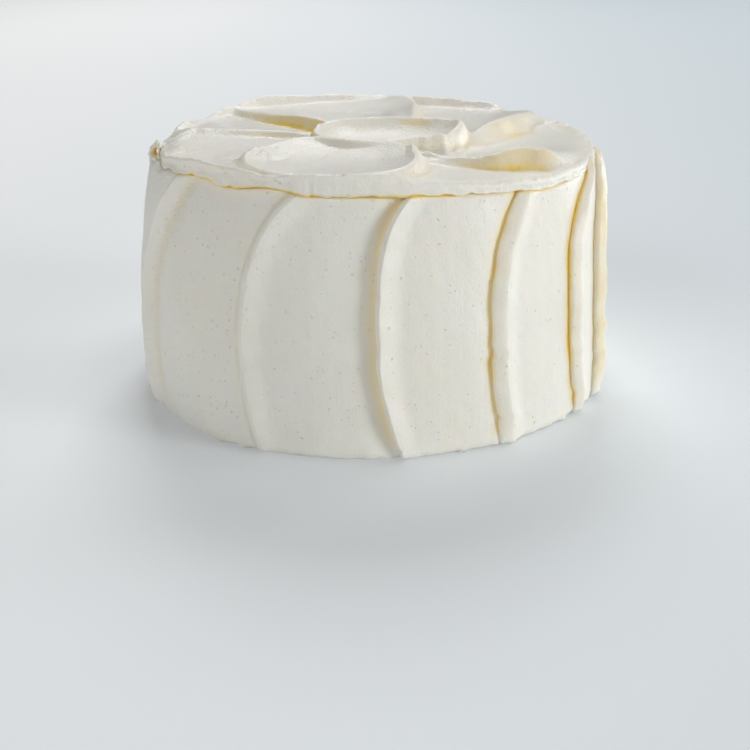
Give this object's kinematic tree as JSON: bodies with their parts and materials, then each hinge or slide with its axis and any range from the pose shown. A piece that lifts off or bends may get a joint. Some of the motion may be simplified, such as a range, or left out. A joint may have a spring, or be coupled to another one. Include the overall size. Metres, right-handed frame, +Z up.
{
  "type": "vanilla cake",
  "caption": "Round uncut layer cake under thick vanilla buttercream, spread in tall overlapping knife strokes up the side and in wide swirls over the top.",
  "frame": {"origin": "middle of the flat foot, on the surface that the cake stands on", "axes": "+Z up; -Y towards the front of the picture; +X to its right"},
  "size_m": [0.2305, 0.2346, 0.1252],
  "materials": {
    "buttercream": null
  },
  "bodies": {
    "root": {"vanilla_cake": "buttercream"}
  },
  "joints": []
}
